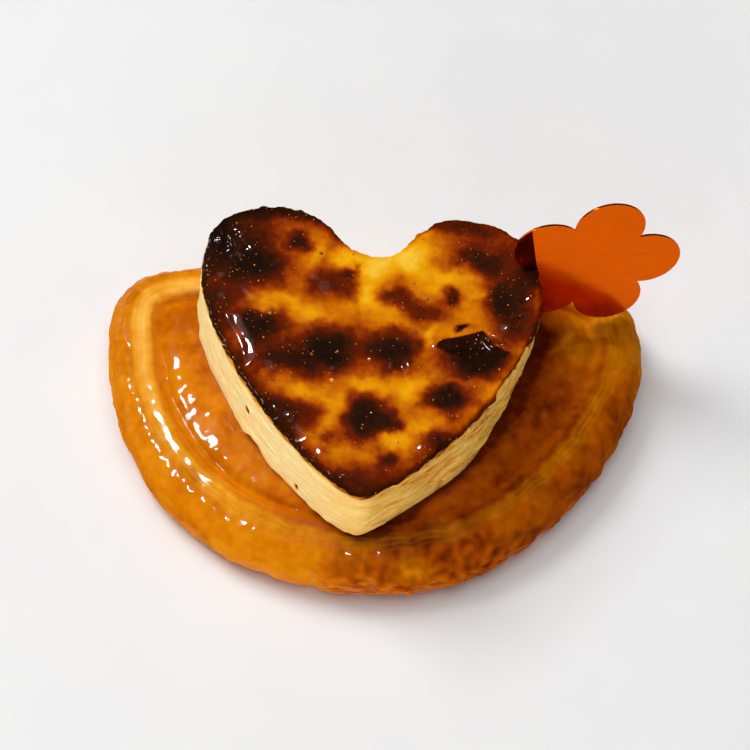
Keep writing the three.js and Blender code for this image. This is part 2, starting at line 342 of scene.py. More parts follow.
# A distance from the edge that wanders, as folds do.
fold_line = inset + lumps(plan, (0.35, 11, 1), (0.15, 3.5, 2))

edge = 1 - ease(inset, *EDGE_ENDS)
roll = 1 - ease(inset, *ROLL_ENDS)
dome = ease(inset, *DOME_STARTS)
to_right = ease(crust[:, 0], -10, 40)
to_front = 1 - ease(crust[:, 1], -38, -15)
to_front_right = ease(crust @ (0.75, -1, 0), -4, 24)
far_back_left = ease(crust @ (-1, 0.5, 0), 38, 58)
band = ease(fold_line, *BAND_STARTS) * (1 - ease(fold_line - 0.9 * far_back_left, *BAND_ENDS))
# the back right of the crust, where the heart's shadow falls: it gets painted light, and less
# yellow
painted_light_back_right = ease(crust[:, 0], 32, 46) * ease(crust[:, 1], 4, 20)
front_roll = ease(crust[:, 0], -16, -2) * (1 - ease(crust[:, 1], -34, -24))
heart_gap = edge_distance(crust, heart_rim)
painted_shade_by_custard = bump(heart_gap, 1.8) * ease(crust[:, 0], -8, 4)
print("share of the crust in the band", round(float(band.mean()), 2))

# %% Palmier: where it swells or sinks
DENT = (37.6, 22.8)
DENT_PAINTED_LIGHT_EDGE = [(38.5, 18.6), (41.5, 21.0), (43.5, 25.0)]
CRUST_SWELLS = [  # place, height, radius
    (DENT, -0.9, 2.4),
    ((-47.8, 8.6), 0.45, 3.0),
    ((-43.9, 1.3), 0.62, 2.0),
    ((-46.4, 3.4), 0.25, 1.0),
    ((-41.6, -2.6), 0.36, 1.3),
    ((-38.2, -5.6), 0.42, 1.1),
    ((-35.6, -14.8), 0.2, 1.1),
    ((-32.6, -17.1), 0.2, 1.1),
    ((-36.8, -28.8), 0.32, 0.95),
    ((-33.9, -30.4), 0.32, 0.95),
    ((-31.0, -31.9), 0.32, 0.95),
    ((-28.2, -33.4), 0.32, 0.95),
    ((-25.9, -34.6), 0.32, 0.95),
    ((-2.9, -38.2), 0.75, 1.3),
    ((-0.6, -39.5), 0.6, 1.0),
    ((-6.0, -39.6), -0.5, 1.0),
    ((-8.8, -38.4), -0.4, 1.1),
    ((-11.5, -41.7), -0.8, 1.1),
    ((1.9, -42.3), -0.8, 1.0),
]
print(len(CRUST_SWELLS), "swells and dents")

# %% Palmier: the roll, the inner fold and the middle
LEAF_PITCH = 1.25  # between two lines of leaves in the band
RIDGE_AT, GROOVE_AT = 8.8, 11.0  # distances from the edge
FRONT_RIDGE_AT, FRONT_GROOVE_AT = 11.6, 10.0
CREST_AT = 4.0  # top of the roll

facing = directions(palmier.data)
ridge = (1 - to_front_right) * (1 + 0.9 * noise(plan, 3.2, 5))
leaves = np.cos(2 * math.pi * (fold_line + 0.6 * noise(plan, 6, 15)) / LEAF_PITCH)
rise = roll * lumps(crust, (0.22, 6, 3), (0.14, 2.3, 4), (0.04, 1.3, 11))
wrinkles = roll * front_roll * noise(crust, (2.2, 4, 2.2), 12)
rise += 0.34 * wrinkles + 0.12 * roll * front_roll * noise(crust, 1.2, 13)
upper_roll = roll * (1 - to_right) * ease(crust[:, 2], 7, 10)
rise += upper_roll * (0.4 * bump(inset - CREST_AT, 2.0) + 0.2 * noise(crust, 1.8, 17))
rise += band * 0.07 * leaves * (0.5 + noise(plan, 8, 16)) * (0.4 + 0.6 * to_front)
rise += ridge * (0.22 * bump(fold_line - RIDGE_AT, 0.9) - 0.1 * bump(fold_line - GROOVE_AT, 1.2))
front_fold = 0.14 * bump(fold_line - FRONT_RIDGE_AT, 1.0)
front_fold -= 0.22 * bump(fold_line - FRONT_GROOVE_AT, 1.0)
rise += to_front_right * front_fold
rise += dome * lumps(crust, (0.24, 6, 6), (0.15, 2.9, 7), (0.05, 1.5, 8))
for place, height, radius in CRUST_SWELLS:
    rise += height * round_spot(crust, place, radius)
print("roll and folds from", round(rise.min(), 2), "to", round(rise.max(), 2), "mm")

# %% Palmier: flaky layers round the foot
LAYER_PITCH = 1.5
FOOT_ENDS = (4.0, 7.5)  # heights between which the layers fade

rise += edge * 0.4 * noise(plan, 5, 14)
foot = (1 - ease(crust[:, 2], *FOOT_ENDS)) * (1 - ease(inset, 2.5, 4)) * ease(crust[:, 2], 0.1, 0.8)
layer_height = crust[:, 2] + 0.9 * noise(crust, (11, 11, 4), 9)
layers = 0.5 + 0.5 * np.cos(2 * math.pi * layer_height / LAYER_PITCH)
tears = bump(noise(crust, (4, 4, 9), 10), 0.1)
rise -= foot * (0.3 * layers + 0.28 * tears)
rise *= ease(crust[:, 2], 0.05, 0.6)
shaped = crust + rise[:, None] * facing
shaped[:, 2] = np.maximum(shaped[:, 2], 0)  # nothing sinks into the table
write(palmier.data, shaped)
print("palmier relief from", round(rise.min(), 2), "to", round(rise.max(), 2), "mm")

# %% Palmier: how far each place is baked, with painted light and shade mixed in
BAKED_LEFT, BAKED_RIGHT = 0.36, 0.75
PALE_SHEEN_LINE_AT, SHADED_GROOVE_AT = 9.2, 10.1  # distances from the edge, beside the inner fold: a pale ridge with painted sheen, and a groove with painted shade
BAKED_PATCHES = [  # place, darker or lighter, radius
    # painted shade in the dent
    (DENT, 0.35, 3.2),
    ((-47.5, 18.5), 0.18, 5.0),
    ((-16.0, -30.0), 0.17, 6.5),
    ((-40.0, -1.8), -0.13, 4.0),
    ((34.7, -3.1), -0.07, 4.5),
    ((51.2, 13.4), 0.07, 4.0),
    # the next two are painted light too, where the heart's shadow falls
    ((50.5, 26.8), -0.08, 4.0),
    ((58.0, 21.6), -0.12, 4.5),
]

browning_and_painted_light = BAKED_LEFT + (BAKED_RIGHT - BAKED_LEFT) * to_right
browning_and_painted_light += 0.1 * rough(crust, 8, 3, 20) + 0.06 * noise(crust, 1.8, 21)
# lighter at the back right: painted light where the heart's shadow falls
browning_and_painted_light += front_roll * (0.3 - 0.2 * to_right + 0.12 * noise(crust, 3, 28)) - 0.36 * painted_light_back_right
for place, amount, radius in BAKED_PATCHES:
    browning_and_painted_light += amount * round_spot(crust, place, radius)
# paler along the dent's right edge: painted light; lighter on the tops of the wrinkles and darker
# in their creases: painted light and shade
browning_and_painted_light -= 0.22 * bump(line_distance(crust, DENT_PAINTED_LIGHT_EDGE), 0.9) + 0.16 * wrinkles
# painted shade on the crust beside the custard's right side
browning_and_painted_light += 0.5 * painted_shade_by_custard
# painted shadow on the crust in the slit under the lifted foot
browning_and_painted_light += 1.2 * bump(heart_gap, 0.8) * round_spot(crust, LIFTED_FOOT, 2.2)
browning_and_painted_light += dome * (0.07 + 0.08 * noise(crust, 5, 22) + 0.08 * ease(inset, 16, 24))
browning_and_painted_light -= 0.25 * band * far_back_left + 0.065 * band * leaves * (0.6 + noise(plan, 8, 16))
# paler along the ridge, partly a pale flake edge and partly painted sheen, and darker in the groove
# inside it: painted shade
browning_and_painted_light -= 0.12 * ridge * bump(fold_line - PALE_SHEEN_LINE_AT, 0.7)
browning_and_painted_light += (0.06 + 0.08 * to_front_right) * bump(fold_line - SHADED_GROOVE_AT, 1.0)
browning_and_painted_light += 0.1 * bump(noise(crust, 7, 24) - 0.5, 0.3) + 0.3 * foot * (layers - 0.5)
keep(palmier, "baked_and_painted_light", np.clip(browning_and_painted_light, 0, 1))
print("palmier baked", round(float(browning_and_painted_light.mean()), 2), "on average")

# %% Palmier: how yellow that brown is
clouds = ease(lumps(crust, (1.0, 7, 26), (0.4, 3, 27)), 0, 0.6)
ochre = 0.7 * band + 0.4 * clouds * (1 - 0.6 * dome)
ochre *= 1 - 0.6 * painted_light_back_right
keep(palmier, "ochre", np.clip(ochre, 0, 1))
print("palmier ochre", round(float(ochre.mean()), 2), "on average")

# %% Palmier: pale layers low on its side, partly painted bounce light, and the glaze on top
DULL_LINE_AT = 13.3  # no glaze where the middle begins
LEAST_GLAZE = 0.02

tilt = directions(palmier.data)[:, 2]
# paler where the crust faces down or sideways: partly raw dough in the layers, partly painted
# bounce light from the table, less of it on the shaded right
lip_and_bounce_light = (1 - ease(tilt, -0.2, 0.22)) * (1 - 0.5 * to_right)
paleness_and_bounce_light = lip_and_bounce_light * (0.55 - 0.35 * layers + 0.5 * noise(crust, 5, 23))
keep(palmier, "pale_layers_and_bounce_light", np.clip(paleness_and_bounce_light, 0, 1))
glaze = 0.5 * ease(tilt, 0.45, 0.8) * (1 - 0.85 * to_right)
glaze *= 1 - 0.85 * bump(inset - DULL_LINE_AT, 1.2)
keep(palmier, "glaze", np.clip(glaze, LEAST_GLAZE, 1))
keep(palmier, "beads", np.clip(roll + 0.25, 0, 1))
print("palmier glaze", round(float(glaze.mean()), 2), "on average")

# %% [markdown]
# ## Materials from a number per point
# Browning isn't a picture on the surface: it is one number, from raw to burnt, and a colour ramp
# turns it into colour. On the crust and the custard that number also carries painted light and
# shade. It is stored with each point, and fine noise on object coordinates breaks it up between the
# points. Gloss is a clear coat, as a sugar glaze is.


# %% Colours, shaders and nodes
def linear(red, green, blue):
    """A colour given as on a screen, 0 to 255, as the numbers a shader works with."""
    steps = [c / 255 for c in (red, green, blue)]
    lit = [s / 12.92 if s <= 0.04045 else ((s + 0.055) / 1.055) ** 2.4 for s in steps]
    return (*lit, 1.0)


def finish(name, **values):
    """A material whose main shader has the given socket values."""
    material = bpy.data.materials.new(name)
    material.use_nodes = True
    tree = material.node_tree
    shader = tree.nodes["Principled BSDF"]
    for socket, value in values.items():
        shader.inputs[socket.replace("_", " ")].default_value = value
    return material, tree, shader


def node(tree, kind, **settings):
    """A new node with the given settings."""
    made = tree.nodes.new(kind)
    for name, value in settings.items():
        setattr(made, name, value)
    return made


def stored(tree, name):
    """The number that was kept for each point under a name."""
    reader = node(tree, "ShaderNodeAttribute", attribute_type="GEOMETRY", attribute_name=name)
    return reader.outputs["Fac"]


# %% Noise in a material
def speckle(tree, size, detail=3.0, place=None):
    """Noise on object coordinates, for bumps of a size in millimetres."""
    place = place or node(tree, "ShaderNodeTexCoord").outputs["Object"]
    grain = node(tree, "ShaderNodeTexNoise")
    grain.inputs["Scale"].default_value = 1 / (size * MM)
    grain.inputs["Detail"].default_value = detail
    tree.links.new(place, grain.inputs["Vector"])
    return grain.outputs["Fac"]


def streaks(tree, size, stretch):
    """Noise drawn out along the level directions."""
    drawn_out = node(tree, "ShaderNodeMapping")
    drawn_out.inputs["Scale"].default_value = (stretch, stretch, 1.0)
    tree.links.new(node(tree, "ShaderNodeTexCoord").outputs["Object"], drawn_out.inputs["Vector"])
    return speckle(tree, size, place=drawn_out.outputs["Vector"])


# %% Sums in a material
def calculate(tree, operation, *values):
    """The result of a Math node, whose values are numbers or other nodes' results."""
    made = node(tree, "ShaderNodeMath", operation=operation)
    for socket, value in zip(made.inputs, values):
        if isinstance(value, float):
            socket.default_value = value
        else:
            tree.links.new(value, socket)
    return made.outputs[0]


def sum_of(tree, value, grain, amount):
    """value + (grain - 0.5) * amount"""
    scaled = calculate(tree, "MULTIPLY_ADD", grain, amount, -0.5 * amount)
    return calculate(tree, "ADD", value, scaled)


# %% Ramps, mixes and bump
def ramp(tree, value, stops):
    """A colour ramp with stops of (place, red, green, blue)."""
    made = node(tree, "ShaderNodeValToRGB")
    marks = made.color_ramp.elements
    while len(marks) < len(stops):
        marks.new(0.5)
    for mark, (place, *colour) in zip(marks, stops):
        mark.position = place
        mark.color = linear(*colour)
    tree.links.new(value, made.inputs["Fac"])
    return made.outputs["Color"]


def mix(tree, share, first, second):
    """The second colour laid over the first by a share."""
    made = node(tree, "ShaderNodeMix", data_type="RGBA")
    tree.links.new(share, made.inputs["Factor"])
    for socket, colour in zip(made.inputs[6:8], (first, second)):  # its two colour sockets
        if isinstance(colour, tuple):
            socket.default_value = colour
        else:
            tree.links.new(colour, socket)
    return made.outputs[2]


def emboss(tree, height, depth, *sockets):
    """Bump of a depth in millimetres from a height between 0 and 1."""
    made = node(tree, "ShaderNodeBump")
    made.inputs["Distance"].default_value = depth * MM
    tree.links.new(height, made.inputs["Height"])
    for socket in sockets:
        tree.links.new(made.outputs["Normal"], socket)


# %% Dress a piece
def dress(piece, slot, *materials):
    """Gives a piece its materials and smooth shading, and says what it rides on."""
    for material in materials:
        piece.data.materials.append(material)
    piece.data.polygons.foreach_set("use_smooth", [True] * len(piece.data.polygons))
    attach(piece, "root")
    print(piece.name, "dressed in", " and ".join(material.name for material in materials))


# %% Glazed crust: colours, from pale to burnt
ORANGE_BROWNS = [
    (0.0, 240, 160, 44),
    (0.2, 226, 138, 12),
    (0.4, 210, 119, 2),
    (0.6, 186, 91, 1),
    (0.8, 154, 64, 1),
    (1.0, 92, 28, 2),
]
YELLOW_BROWNS = [
    (0.0, 246, 186, 78),
    (0.2, 234, 160, 36),
    (0.4, 216, 140, 10),
    (0.6, 190, 112, 3),
    (0.8, 158, 84, 1),
    (1.0, 104, 44, 2),
]
# a pinkish raw-dough colour, which also stands for painted bounce light from the table
RAW_LAYERS_AND_BOUNCE_LIGHT = linear(206, 128, 78)

# %% Glazed crust: shader
glazed, tree, shader = finish(
    "glazed crust",
    Roughness=0.6,
    Specular_IOR_Level=0.0,
    Coat_Roughness=0.11,
    Subsurface_Weight=0.06,
    Subsurface_Scale=0.001,
    Subsurface_Radius=(1.0, 0.35, 0.1),
)
tree.links.new(stored(tree, "glaze"), shader.inputs["Coat Weight"])
baked_and_painted_light = sum_of(tree, stored(tree, "baked_and_painted_light"), speckle(tree, 2.4, 5), 0.36)
browns = ramp(tree, baked_and_painted_light, ORANGE_BROWNS), ramp(tree, baked_and_painted_light, YELLOW_BROWNS)
crusty = mix(tree, stored(tree, "ochre"), *browns)
crusty = mix(tree, stored(tree, "pale_layers_and_bounce_light"), crusty, RAW_LAYERS_AND_BOUNCE_LIGHT)
tree.links.new(crusty, shader.inputs["Base Color"])
emboss(tree, speckle(tree, 1.3, 3), 0.08, shader.inputs["Normal"])
beaded = calculate(tree, "MULTIPLY", speckle(tree, 1.7, 1), stored(tree, "beads"))
emboss(tree, beaded, 0.07, shader.inputs["Coat Normal"])
dress(palmier, "crust", glazed)
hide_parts("pastry")

# %% [markdown]
# ## The custard heart
# Baked custard cut with a ring has smooth sides with fine threads that run level, like the pages of
# a book. On the far side from the light it has slumped into wavy folds. Cloth or soft-body
# simulation could slump it, but noise that is wide and low gives such threads and folds at once,
# and they stay where they are put. Its soft foot settles on the crust: rays cast down find how far
# each low point may sink. It stays off the crust in one small place.

# %% Custard: fine copy
CUSTARD_FOOT, CUSTARD_TOP = foot_and_top("custard_heart")
COVERED_FROM = 3.0  # how far in from the rim the top is surely hidden


def under_sugar(points):
    """Which points of the top nobody can see."""
    return edge_distance(points, heart_rim) > COVERED_FROM


custard = fine_copy("custard_heart", "custard_heart_block", voxel=0.28, smoothing=3)
flatten_and_thin(custard, level=CUSTARD_TOP, facing=1, hidden=under_sugar)
flatten_and_thin(custard, level=CUSTARD_FOOT, facing=-1)
print("custard", triangles(custard), "triangles, from", CUSTARD_FOOT, "to", CUSTARD_TOP, "mm")

# %% Custard: threads, folds and creases
BULGE_AT = 5  # height over the foot

block = read(custard.data)
footprint = block * (1, 1, 0)
facing = directions(custard.data)
sides = 1 - ease(np.abs(facing[:, 2]), 0.6, 0.95)
slumped = ease(block[:, 0], -4, 9)
waving = 0.5 * noise(block, (9, 9, 5), 30) + 0.9 * slumped * noise(block, (7, 7, 5), 38)
level_line = block + np.array([0, 0, 1]) * waving[:, None]
threads = lumps(level_line, (0.11, (12, 12, 0.75), 31), (0.07, (7, 7, 0.5), 32))
folds = slumped * 0.3 * noise(level_line, (8, 8, 1.8), 33) + 0.2 * noise(block, 6, 34)
creases = (0.08 + 0.85 * slumped) * bump(noise(level_line, (12, 12, 1.2), 36), 0.12)
above_foot = block[:, 2] - CUSTARD_FOOT
bulge = 0.35 * bump(above_foot - BULGE_AT, 2.5) * (1 + 1.5 * noise(footprint, 4.5, 37))
undercut = (1.0 + 0.6 * noise(footprint, 4, 41)) * (1 - ease(above_foot, 0, 2.2))
push = sides * (threads + folds - creases + slumped * (bulge - undercut))
uneven_foot = lumps(footprint, (0.35, 2.6, 42), (0.3, 7, 43))
push += sides * uneven_foot * (1 - ease(above_foot, 1.5, 4))
print("creases up to", round(float((sides * creases).max()), 2), "mm deep")

# %% Custard: pinholes, the lifted foot and the torn corner
PINHOLES = [  # place, half width, half height
    ((-29.5, -9.3, 24.6), 0.9, 1.4),
    ((-17.1, -24.5, 18.9), 0.65, 0.8),
]
PINHOLE_DEPTH = 1.0
FOOT_LIFT = 1.4
TORN_CORNER = [(31.5, 7.5), (29.6, 3.0), (27.6, 0.0), (25.8, -4.0)]

pinhole = np.zeros(len(block))
for place, width, height in PINHOLES:
    pinhole += round_spot(block, place, width) * bump(block[:, 2] - place[2], height)
push -= PINHOLE_DEPTH * pinhole
block += push[:, None] * facing * (1, 1, 0.3)
lifted = round_spot(block, LIFTED_FOOT, 2.4) * (1 - ease(block[:, 2] - CUSTARD_FOOT, 1, 4))
block[:, 2] += FOOT_LIFT * lifted
top_rim = ease(block[:, 2], CUSTARD_TOP - 2.5, CUSTARD_TOP - 0.3)
torn_up = bump(line_distance(block, TORN_CORNER), 1.2) * top_rim
block[:, 2] += torn_up * (0.7 + 0.7 * noise(block, 1.8, 39))
print("foot lifted by", round(float(FOOT_LIFT * lifted.max()), 2), "mm at most")

# %% Custard: let the foot settle on the crust
SOFT_FOOT = 2.5  # height of the part that gives way
DEEPEST_SETTLING = 0.9
LEFT_FREE = 0.05
RAYS_FROM = 0.03  # metres, above the crust

crust_tree = BVHTree.FromObject(palmier, bpy.context.evaluated_depsgraph_get())
low = np.flatnonzero(block[:, 2] < CUSTARD_FOOT + SOFT_FOOT)
for i in low:
    hit = crust_tree.ray_cast(Vector((*block[i, :2] * MM, RAYS_FROM)), Vector((0, 0, -1)))[0]
    room = CUSTARD_FOOT - hit.z / MM if hit else 0.0
    settling = min(max(room - LEFT_FREE, 0), DEEPEST_SETTLING) * (1 - lifted[i])
    block[i, 2] -= settling * (1 - ease(block[i, 2], CUSTARD_FOOT, CUSTARD_FOOT + SOFT_FOOT))
write(custard.data, block)
print("custard settled over", len(low), "points")

# %% Custard: how toasted each place is, with painted bounce light and painted shade
wavy_height = block[:, 2] + 0.5 * noise(block, (4, 4, 1), 35)
toasted_and_painted_light = 0.8 * ease(wavy_height, CUSTARD_TOP - 1.3, CUSTARD_TOP - 0.2)
# warmer towards the right: painted bounce light from the crust
painted_bounce_on_right = ease(block[:, 0], -18, 8) * (0.75 + 0.4 * noise(level_line, (6, 6, 1.5), 40))
# the creases get painted shade
toasted_and_painted_light = np.maximum(toasted_and_painted_light * (1 - torn_up), 0.54 * painted_bounce_on_right + 0.2 * creases)
# the pinholes are painted dark: painted shade in the holes
toasted_and_painted_light += 0.1 + 1.6 * ease(pinhole, 0.2, 0.6)
keep(custard, "toasted_and_painted_light", np.clip(toasted_and_painted_light, 0, 1))
print("custard toasted", round(float(toasted_and_painted_light.mean()), 2), "on average")

# %% Baked custard
CUSTARD_COLOURS = [
    (0.0, 255, 236, 176),
    (0.16, 255, 220, 142),
    (0.34, 253, 204, 112),
    (0.55, 250, 191, 82),
    (0.8, 228, 134, 20),
    # the darkest stop is the painted shade in the pinholes
    (1.0, 60, 28, 6),
]

moist, tree, shader = finish(
    "baked custard",
    Roughness=0.5,
    Specular_IOR_Level=0.15,
    Subsurface_Weight=0.2,
    Subsurface_Scale=0.0015,
    Subsurface_Radius=(1.0, 0.6, 0.25),
)
strands = streaks(tree, 0.38, 0.11)
tint = sum_of(tree, stored(tree, "toasted_and_painted_light"), strands, 0.85)
tree.links.new(ramp(tree, tint, CUSTARD_COLOURS), shader.inputs["Base Color"])
emboss(tree, strands, 0.42, shader.inputs["Normal"])
dress(custard, "custard", moist)
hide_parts("custard_heart")

# %% [markdown]
# ## The burnt sugar
# A torch melts sugar into a glassy sheet, amber where it is thin and black where the flame stayed.
# It slumps into low mounds with steep edges, cracks at the rim and traps small bubbles. One black
# flake has lifted beside a small tear. Noise alone would burn it evenly, so each burnt spot has a
# place, a size and a strength in a table, and noise only frays its edge.

# %% Caramel: fine copy
SHEET_FOOT, _ = foot_and_top("caramel_top")
SHEET_THICKNESS = 1.1  # without the mounds
SHEET_TOP = SHEET_FOOT + SHEET_THICKNESS

caramel = fine_copy("caramel_top", "caramel_sheet", voxel=0.25, smoothing=4)
flatten_and_thin(caramel, level=SHEET_FOOT, facing=-1)
print("caramel", triangles(caramel), "triangles, from", SHEET_FOOT, "to", SHEET_TOP, "mm")

# %% Caramel: outlines of the mound, the flake and the tear
MOUND = [
    (-35.5, 9.6),
    (-33.0, 11.6),
    (-27.8, 10.8),
    (-23.2, 9.1),
    (-18.6, 1.8),
    (-11.4, -3.9),
    (-22.8, -6.2),
    (-29.6, -3.0),
    (-31.1, 2.2),
]
FLAKE = [
    (11.0, 5.4),
    (12.2, 7.2),
    (16.8, 8.8),
    (21.6, 10.6),
    (23.1, 8.7),
    (24.3, 7.0),
    (27.9, 6.0),
    (27.0, 1.8),
    (22.6, -0.5),
    (18.8, -0.3),
    (14.2, 2.6),
    (12.3, 4.6),
]
TEAR = [(22.4, 10.0), (26.0, 7.9), (24.5, 7.0), (23.3, 8.5)]
print("corners of the mound, flake and tear:", len(MOUND), len(FLAKE), len(TEAR))

# %% Caramel: pits, swells and ridges
PITS = [  # place, depth, radius
    ((3.8, -0.1), 0.7, 1.2),
    ((24.5, 7.8), 0.7, 1.0),
    ((-38.0, 27.5), 0.6, 0.9),
    ((-36.4, 31.0), 0.5, 0.8),
    ((-33.5, 27.0), 0.4, 0.9),
    ((-24.0, -13.5), 0.35, 0.9),
    ((8.5, -20.5), 0.35, 1.0),
    ((30.5, 20.0), 0.4, 1.0),
]
SWELLS = [  # place, height, radius
    ((27.6, 12.6), 0.8, 1.9),
    ((-41.2, 23.7), 0.5, 0.9),
    ((-41.6, 21.9), 0.5, 0.8),
    ((-41.3, 20.4), 0.45, 0.8),
    ((32.6, 13.2), 0.5, 1.2),
    ((5.2, 1.6), 0.35, 1.8),
    ((-36.6, 20.3), 0.85, 2.2),
    ((-36.5, 14.5), 0.4, 1.3),
    ((16.3, 11.2), 0.45, 0.9),
    ((-13.0, 19.0), 0.3, 2.6),
    ((-15.3, -20.3), 0.65, 1.6),
    ((19.0, 27.0), 0.35, 2.4),
]
RIDGES = [  # line, height, spread
    ([(11.5, 6.4), (16.8, 8.3), (21.3, 10.0), (22.9, 8.2), (24.6, 6.6)], 0.85, 0.75),
    ([(23.2, 10.4), (26.6, 8.0)], 0.5, 0.4),
    ([(-6.6, -28.6), (-2.5, -30.6), (1.7, -28.0)], 0.5, 0.9),
    ([(-19.0, -14.5), (-14.7, -19.6), (-10.5, -24.0)], 0.35, 1.0),
    ([(12.3, 4.4), (17.0, 5.0), (21.4, 6.2)], -0.45, 0.45),
    ([(-32.5, 17.0), (-29.5, 13.5), (-24.5, 13.0)], 0.3, 0.8),
    ([(-10.5, -2.0), (-6.5, -3.8), (-3.0, -2.6)], 0.25, 0.7),
]
print(len(PITS), "pits,", len(SWELLS), "swells and", len(RIDGES), "ridges")

# %% Caramel: raise and sink the sheet
MOUND_HEIGHT = 1.05
MOUND_SIDE = 3.4  # width of its rounded side
MOUND_SPILL = 0.6  # how far that side reaches over the outline
TEAR_DEPTH = 0.6
CHARRED_CORNER = (-38.5, 30.0)

sheet = read(caramel.data)
facing = directions(caramel.data)
sheet_inset = edge_distance(sheet, heart_rim)
up = ease(sheet[:, 2], SHEET_FOOT + 0.1, SHEET_TOP - 0.35)
plan = sheet * (1, 1, 0)
mound_edge = depth_inside(sheet + 0.25 * noise(plan, 4, 43)[:, None], MOUND)
share_in = np.clip((mound_edge + MOUND_SPILL) / MOUND_SIDE, 0, 1)
drop = 1 - (1 - share_in) ** 2
mound = drop * (1 - ease(sheet[:, 0], -25, -12))
rise = MOUND_HEIGHT * mound + (1 - 0.7 * mound) * lumps(plan, (0.17, 6, 41), (0.07, 2.4, 42))
for (x, y), depth, radius in PITS:  # a pit has a low wall round it
    away = np.hypot(sheet[:, 0] - x, sheet[:, 1] - y)
    rise += 0.35 * depth * bump(away - 1.5 * radius, 0.5 * radius) - depth * bump(away, radius)
for place, height, radius in SWELLS:
    rise += height * round_spot(sheet, place, radius)
for line, height, spread in RIDGES:
    rise += height * bump(line_distance(sheet, line), spread)
rise -= TEAR_DEPTH * ease(depth_inside(sheet, TEAR), -0.2, 0.5)
charred = round_spot(sheet, CHARRED_CORNER, 5)
rise += charred * lumps(plan, (0.5, 1.7, 44), (0.25, 0.9, 48))
print("mound", round(float(MOUND_HEIGHT * mound.max()), 2), "mm high")

# %% Caramel: the ragged rim
LOWEST, HIGHEST = -0.75, 1.25  # the most that the sheet may sink and rise
RIM_TORN_BY = 0.9

at_rim = 1 - ease(sheet_inset, 0.5, 2.0)
rise += at_rim * (lumps(plan, (0.2, 1.9, 45), (0.1, 1.0, 49)) - 0.15)
torn_off = bump(line_distance(sheet, TORN_CORNER), 1.1)
sheet[:, 2] += up * np.clip(rise, LOWEST, HIGHEST)
sideways = at_rim * lumps(plan, (0.4, 2.6, 46), (0.22, 1.1, 47)) - RIM_TORN_BY * torn_off
sheet[:, :2] += sideways[:, None] * facing[:, :2]
write(caramel.data, sheet)
print("caramel relief from", round(rise.min(), 2), "to", round(rise.max(), 2), "mm")

# %% Caramel: burnt spots
SPOTS = [  # place, half sizes, strength
    (-39.8, 29.6, 4.6, 7.5, 1.0),
    (-31.4, 23.3, 8.0, 6.0, 1.0),
    (-33.0, 31.5, 8.0, 6.0, 0.6),
    (-28.9, 38.0, 10.0, 2.2, 0.75),
    (-21.6, 30.5, 2.8, 3.1, 0.8),
    (-13.5, 20.1, 5.8, 4.8, 0.62),
    (-8.1, 22.7, 2.1, 1.8, 0.62),
    (-27.8, 7.6, 6.4, 3.6, 0.9),
    (-22.5, -0.8, 8.2, 4.2, 0.8),
    (-29.8, 4.4, 3.0, 3.8, 0.65),
    (-12.0, 2.5, 6.6, 5.9, 1.0),
    (1.8, 3.9, 6.2, 5.4, 0.93),
    (20.4, 2.8, 7.4, 4.4, 1.0),
    (25.3, 19.8, 3.9, 5.4, 0.88),
    (20.6, 29.1, 5.8, 3.5, 0.72),
    (14.3, 19.0, 2.7, 2.4, 0.75),
    (2.3, 17.4, 4.4, 2.9, 0.6),
    (7.8, 14.0, 6.4, 2.7, 0.5),
    (-3.2, -13.8, 4.6, 5.9, 0.92),
    (2.6, -14.1, 3.4, 2.4, 0.72),
    (14.7, -7.6, 5.1, 3.8, 0.95),
    (2.4, -23.7, 2.8, 2.2, 0.72),
    (-2.8, -29.2, 6.5, 3.8, 0.56),
    (-18.7, -14.7, 7.2, 4.0, 0.66),
    (16.1, 38.6, 10.6, 2.6, 0.66),
    (31.1, 24.7, 3.3, 9.6, 0.6),
    (16.3, 11.2, 1.6, 0.9, 1.0),
    (-10.1, -19.4, 2.3, 2.2, 0.5),
    (13.1, -17.4, 4.2, 2.9, 0.55),
    (19.2, -19.6, 5.6, 2.6, 0.62),
    (28.6, 14.0, 5.5, 6.5, 0.62),
    (22.0, 34.0, 9.0, 4.5, 0.45),
    (28.5, 27.5, 5.0, 5.0, 0.35),
    (-36.5, 13.5, 4.5, 6.0, 0.55),
    (-23.9, -11.5, 3.5, 3.0, 0.5),
    (21.8, -6.9, 3.0, 3.0, 0.25),
    (11.0, 28.0, 3.5, 2.5, 0.25),
    (-12.3, -7.4, 3.0, 2.4, 0.25),
]

# %% Caramel: places where the sugar stayed yellow
PALE = [  # place, half sizes, strength
    (-2.7, 27.0, 6.7, 3.5, 0.32),
    (6.3, 28.9, 5.0, 4.5, 0.34),
    (-9.7, 29.0, 3.3, 2.6, 0.3),
    (-4.5, 20.4, 2.5, 6.4, 0.26),
    (1.2, 12.6, 3.3, 3.2, 0.22),
    (-24.8, 14.3, 5.0, 2.2, 0.14),
    (-16.7, 11.5, 4.4, 1.9, 0.2),
    (-14.3, -8.6, 5.6, 2.6, 0.22),
    (-10.2, -15.4, 2.8, 4.2, 0.24),
    (-2.5, -5.5, 4.4, 1.9, 0.22),
    (4.6, -4.8, 3.9, 3.2, 0.16),
    (9.5, 7.3, 1.3, 4.5, 0.18),
    (3.4, -18.7, 2.8, 2.2, 0.22),
    (8.6, -14.5, 2.2, 1.9, 0.16),
    (-26.2, 28.3, 1.6, 2.7, 0.14),
    (-17.1, 27.9, 1.4, 3.8, 0.2),
    (22.3, -4.3, 3.3, 2.6, 0.14),
    (12.2, -11.6, 2.5, 2.6, 0.16),
    (20.2, 20.6, 1.2, 1.9, 0.12),
    (12.8, 24.9, 3.3, 2.6, 0.16),
    (-3.7, 16.4, 2.6, 3.0, 0.2),
    (11.4, 20.7, 2.6, 2.4, 0.16),
]
print(len(SPOTS), "burnt spots and", len(PALE), "pale places")


